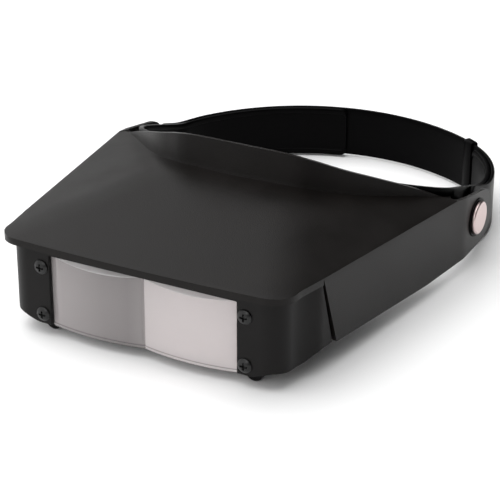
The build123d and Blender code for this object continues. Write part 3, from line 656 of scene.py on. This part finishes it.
def tube_faces(rings, size, closed):
    """Quads between neighbouring rings of a tube, and between the last and the first if it is closed."""
    faces = []
    for i in range(rings if closed else rings - 1):
        here = i * size
        there = (i + 1) % rings * size
        faces += [(here + k, here + (k + 1) % size, there + (k + 1) % size, there + k) for k in range(size)]
    return faces


def band_plan():
    """Plan of the band's inner face, from the forehead round by +X: points and outward normals."""
    centre = np.array([BAND_SKEW, BAND_APEX - BAND_REAR])
    turns = {}
    for side in (1, -1):
        reach = BAND_HALF - side * BAND_SKEW
        depth = BAND_SIDE_END - centre[1]
        radius = (BAND_REAR + reach - depth ** 2 / (BAND_REAR - reach)) / 2
        corner = np.array([side * (BAND_HALF - radius), BAND_SIDE_END])
        angle = math.degrees(math.atan2(corner[1] - centre[1], corner[0] - centre[0]))
        turns[side] = (corner, radius, angle)
    front = np.radians(np.linspace(-90, 0, 60))
    ellipse = np.stack([BAND_HALF * np.cos(front),
                        BAND_FRONT_CENTRE + BAND_FRONT_DEPTH * np.sin(front)], axis=1)
    near = arc_points(turns[1][0], turns[1][1], 0, turns[1][2], 24)
    rear = arc_points(centre, BAND_REAR, turns[1][2], turns[-1][2], 70)
    far = arc_points(turns[-1][0], turns[-1][1], turns[-1][2], 180, 24)
    straight = np.stack([np.full(20, BAND_HALF), np.linspace(BAND_FRONT_CENTRE, BAND_SIDE_END, 20)], axis=1)
    loop = np.vstack([ellipse[:-1], straight[:-1], near[:-1], rear[:-1], far[:-1],
                      straight[::-1][:-1] * (-1, 1), ellipse[::-1][:-1] * (-1, 1)])
    return loop, loop_normals(loop)


def band_middle(distance):
    """Height of the band's middle line: level behind the head, rising towards the forehead."""
    soft = 4.0
    return BAND_REST_HEIGHT + BAND_SLOPE * soft * np.logaddexp(0, (BAND_BEND - distance) / soft)


def band_half_height(distance, half):
    """Vertical half height of the band, a little more where it rises."""
    soft = 6.0
    rising = 1 / (1 + np.exp((distance - BAND_BEND) / soft))
    return half * (1 + rising * (math.hypot(1, BAND_SLOPE) - 1))


def band_strip(name, points, normals, half_profile, half, end_round, body, slot):
    """Strip along the band's plan, with rounded ends and the given upper half of a section."""
    count = len(points)
    gaps = np.linalg.norm(np.diff(points, axis=0), axis=1)
    run = np.concatenate([[0], np.cumsum(gaps)])
    to_end = np.minimum(run, run[-1] - run)
    near_end = np.clip(end_round - to_end, 0, end_round)
    cut = end_round - np.sqrt(np.maximum(end_round ** 2 - near_end ** 2, 0))
    middle = band_middle(points[:, 1])
    tall = band_half_height(points[:, 1], half) - cut
    profile = [(offset, depth, 1) for offset, depth in half_profile]
    profile += [(offset, depth, -1) for offset, depth in reversed(half_profile)]
    verts = []
    for i in range(count):
        for offset, depth, sign in profile:
            place = points[i] + normals[i] * offset
            verts.append((place[0], place[1], middle[i] + sign * (tall[i] - depth)))
    size = len(profile)
    faces = tube_faces(count, size, False)
    faces.append(tuple(range(size)))
    faces.append(tuple(range((count - 1) * size, count * size)))
    verts = np.array(verts) * MM
    verts[:, 1] += FRONT
    return add_piece(name, verts, faces, body, slot)


def dense(points, normals, spacing=1.2):
    """The same run with extra stations near its two ends, so that their round corners are smooth."""
    gaps = np.linalg.norm(np.diff(points, axis=0), axis=1)
    run = np.concatenate([[0], np.cumsum(gaps)])
    ends = np.array([0.0, 0.05, 0.2, 0.45, 0.8, 1.25, 1.8, 2.5, 3.3, 4.2])
    margin = 5.5
    body = np.arange(margin, run[-1] - margin, spacing)
    where = np.concatenate([ends, body, run[-1] - ends[::-1]])
    stack = np.hstack([points, normals])
    out = np.stack([np.interp(where, run, stack[:, i]) for i in range(4)], axis=1)
    direction = out[:, 2:] / np.linalg.norm(out[:, 2:], axis=1)[:, None]
    return out[:, :2], direction


def build_headband():
    """Arms with beaded edges, strap with its slots, and forehead pad."""
    plan, normals = band_plan()
    behind = plan[:, 1] > BAND_SIDE_END
    near_end = int(np.argmax(behind & (plan[:, 0] < ARM_ENDS[1])))
    far_end = int(np.argmax(behind & (plan[:, 0] < ARM_ENDS[0])))
    order = list(range(far_end, len(plan))) + list(range(near_end))
    arms = band_strip("headband_arms", *dense(plan[order], normals[order]), ARM_SECTION, BAND_HALF_HEIGHT,
                      3.0, "headband", "band_plastic")
    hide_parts("front_band")
    first = int(np.argmax((plan[:, 1] > STRAP_START) & (plan[:, 0] > 0)))
    last = len(plan) - 1 - int(np.argmax((plan[::-1, 1] > STRAP_START) & (plan[::-1, 0] < 0)))
    run = list(range(first, last + 1))
    strap = band_strip("adjusting_strap", *dense(plan[run], normals[run]), STRAP_SECTION, BAND_HALF_HEIGHT,
                       5.0, "rear_strap", "band_plastic")
    cut_slots(strap)
    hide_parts("rear_strap")
    front = [i % len(plan) for i in range(-80, 81)]
    inside = [i for i in front if abs(plan[i, 0]) < PAD_HALF]
    pad = band_strip("forehead_pad", *dense(plan[inside], normals[inside]), PAD_SECTION,
                     BAND_HALF_HEIGHT - 1.6, 5.0, "headband", "pad_foam")
    soften = pad.modifiers.new("soften", "SUBSURF")
    soften.levels = 1
    soften.render_levels = 1
    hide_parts("brow_pad")


def cut_slots(strap):
    """Slots near the strap's ends, in which the two studs slide."""
    along, up, radius = STUD
    ring = [*arc_points((along, up), radius, -90, 90, 13),
            *arc_points((along - STRAP_TRAVEL, up), radius, 90, 270, 13)]
    for side in (1, -1):
        work = bmesh.new()
        inner, outer = ([work.verts.new((side * x * MM, FRONT + y * MM, z * MM)) for y, z in ring]
                        for x in SLOT_CUTTER)
        work.faces.new(inner)
        work.faces.new(outer)
        for k in range(len(ring)):
            following = (k + 1) % len(ring)
            work.faces.new((inner[k], inner[following], outer[following], outer[k]))
        bmesh.ops.recalc_face_normals(work, faces=work.faces)
        mesh = bpy.data.meshes.new("slot_tool")
        work.to_mesh(mesh)
        work.free()
        tool = bpy.data.objects.new("slot_tool", mesh)
        bpy.context.scene.collection.objects.link(tool)
        cut = strap.modifiers.new("slot", "BOOLEAN")
        cut.operation = "DIFFERENCE"
        cut.solver = "EXACT"
        cut.object = tool
        apply_all(strap)
        bpy.data.objects.remove(tool)
        bpy.data.meshes.remove(mesh)
    tidy_mesh(strap.data, 30)


def build_keeper():
    """Loop round the strap behind the near arm's end: a soft-edged flat bar bent round it."""
    centre = np.array([BAND_SKEW, BAND_APEX - BAND_REAR])
    rise = math.sqrt(BAND_REAR ** 2 - (KEEPER_X - BAND_SKEW) ** 2)
    outward = np.array([KEEPER_X - BAND_SKEW, rise]) / BAND_REAR
    tangent = np.array([outward[1], -outward[0]])
    base = centre + outward * BAND_REAR
    inner = KEEPER_INSIDE[0] + KEEPER_CORNER
    outer = KEEPER_INSIDE[1] - KEEPER_CORNER
    low = KEEPER_MARGIN + KEEPER_CORNER
    high = 2 * BAND_REST_HEIGHT - KEEPER_MARGIN - KEEPER_CORNER
    path = []
    for place, start in (((outer, high), 0), ((inner, high), 90), ((inner, low), 180), ((outer, low), 270)):
        path.extend(arc_points(place, KEEPER_CORNER, start, start + 90, 6))
    path = np.array(path)
    verts = []
    for point, away in zip(path, loop_normals(path)):
        for across, out in KEEPER_SECTION:
            depth, height = point + away * out
            place = base + outward * depth + tangent * across
            verts.append((place[0] * MM, FRONT + place[1] * MM, height * MM))
    faces = tube_faces(len(path), len(KEEPER_SECTION), True)
    keeper = add_piece("keeper_loop", verts, faces, "rear_strap", "band_plastic", 50)
    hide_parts("strap_keeper")


build_headband()
build_keeper()


# ---------------------------------------------------------------- fixed lens plate
LENS_HALF = 55.5
LENS_LEDGE = 40.4  # height at which the zones have run out
LENS_TOP = 42.4
LENS_FRONT = 2.6  # along, the flat front face
LENS_BACK = 5.6
LENS_ROUNDING = 1.1  # of the lower edge
ZONE_OUTER = 46.1  # half width of both zones together
ZONE_CENTRE = 23.0
ZONE_REACH = 24.6
ZONE_BULGE = 2.9
SEAM_DEPTH = 0.45
SEAM_WIDTH = 0.3
BEHIND_POSTS_BOTTOM = 6.9  # the plate ends higher behind the frame's posts


def build_lens():
    """Clear plate with two convex zones that meet in a fine seam, chamfered above and rounded below."""
    outwards = np.linspace(ZONE_OUTER, LENS_HALF, 6)
    xs = np.unique(np.concatenate([np.linspace(-ZONE_OUTER, ZONE_OUTER, 121), [-0.25, -0.12, 0.12, 0.25],
                                   outwards, -outwards]))
    across = np.clip(np.abs(xs), 0, ZONE_OUTER)
    zone = np.where(np.abs(xs) <= ZONE_OUTER, 1 - ((across - ZONE_CENTRE) / ZONE_REACH) ** 2, 0)
    lift = ZONE_BULGE * np.clip(zone, 0, 1)
    low = LENS_LEDGE - 0.75 * lift
    high = LENS_LEDGE + 0.1
    steps = [LENS_BOTTOM + rise for rise in (0, 0.1, 0.3, 0.6, 1.0, 1.5)]
    first = LENS_BOTTOM + 2.5
    steps += [first + (low - 0.6 - first) * share for share in np.linspace(0, 1, 24)]
    steps += [low - 0.3, low - 0.1, low]
    steps += [low + (high - low) * share for share in (0.25, 0.5, 0.75, 1.0)]
    steps += list(np.linspace(LENS_LEDGE + 0.5, LENS_TOP, 4))
    z = np.array([np.broadcast_to(step, xs.shape) for step in steps])
    x = np.broadcast_to(xs, z.shape)
    slope = np.clip((z - low) / (high - low), 0, 1)
    z = np.where(np.abs(x) > ZONE_OUTER + 0.1, np.maximum(z, BEHIND_POSTS_BOTTOM), z)
    to_rounding = np.clip(1 - (z - LENS_BOTTOM) / LENS_ROUNDING, 0, 1)
    rounding = LENS_ROUNDING * (1 - np.sqrt(1 - to_rounding ** 2))
    groove = SEAM_DEPTH * np.exp(-(x / SEAM_WIDTH) ** 2)
    front = LENS_FRONT - lift * (1 - slope) + rounding + groove * (z < LENS_LEDGE)
    back = np.full_like(x, LENS_BACK)
    verts = np.vstack([np.dstack([x, y, z]).reshape(-1, 3) for y in (front, back)]) * MM
    verts[:, 1] += FRONT
    rows, columns = x.shape
    offset = rows * columns
    faces = grid_faces(rows, columns) + grid_faces(rows, columns, offset)
    numbers = np.arange(offset).reshape(rows, columns)
    ring = np.concatenate([numbers[0], numbers[1:, -1], numbers[-1, -2::-1], numbers[-2:0:-1, 0]]).tolist()
    for here, there in zip(ring, ring[1:] + ring[:1]):
        faces.append((here, there, there + offset, here + offset))
    plate = add_piece("lens_pair", verts, faces, "visor", "clear_lens", 65)
    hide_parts("front_lens_plate")


build_lens()


# ---------------------------------------------------------------- stage
FLOOR_HALF = 3.0
BRIGHT_SIDE = (-0.745, -0.298, 0.596)  # direction in which the room is brightest
LIT_RANGE = (0.26, 0.47)  # cosine to that direction at which the room is darkest and brightest
ROOM_STRENGTH = (0.05, 1.35)


def make_stage():
    """Pale flat floor, a room that is brighter on one side, and two soft lamps."""
    mesh = bpy.data.meshes.new("floor")
    corners = [(x * FLOOR_HALF, y * FLOOR_HALF, 0) for x, y in ((-1, -1), (1, -1), (1, 1), (-1, 1))]
    mesh.from_pydata(corners, [], [(0, 1, 2, 3)])
    floor = bpy.data.objects.new("floor", mesh)
    bpy.context.scene.collection.objects.link(floor)
    material, _, shader = new_material("floor_look")
    shader.inputs["Base Color"].default_value = (0.93, 0.93, 0.93, 1)
    shader.inputs["Roughness"].default_value = 0.9
    shader.inputs["Specular IOR Level"].default_value = 0.1
    mesh.materials.append(material)
    world = bpy.data.worlds.new("studio")
    world.use_nodes = True
    tree = world.node_tree
    sky = tree.nodes["Background"]
    sky.inputs["Color"].default_value = (1, 1, 1, 1)
    # the room is bright above and in front of the object's -X side, and falls off behind its +X side
    direction = tree.nodes.new("ShaderNodeTexCoord")
    facing = tree.nodes.new("ShaderNodeVectorMath")
    facing.operation = "DOT_PRODUCT"
    facing.inputs[1].default_value = BRIGHT_SIDE
    tree.links.new(direction.outputs["Generated"], facing.inputs[0])
    strength = map_range(tree, facing.outputs["Value"], LIT_RANGE, ROOM_STRENGTH)
    strength.node.interpolation_type = "SMOOTHSTEP"
    tree.links.new(strength, sky.inputs["Strength"])
    bpy.context.scene.world = world
    lamps = (
        ("overhead", (-0.2, -0.1, 1.7), 2.2, 24.0),
        ("front", (0.4, -1.7, 0.9), 0.9, 5.0),
    )
    for name, place, size, power in lamps:
        data = bpy.data.lights.new(name, "AREA")
        data.size = size
        data.energy = power
        lamp = bpy.data.objects.new(name, data)
        lamp.location = place
        lamp.rotation_euler = (Vector(place) - Vector((0, 0, 0.03))).to_track_quat("Z", "Y").to_euler()
        bpy.context.scene.collection.objects.link(lamp)
    bpy.context.scene.view_settings.view_transform = "Standard"


make_stage()
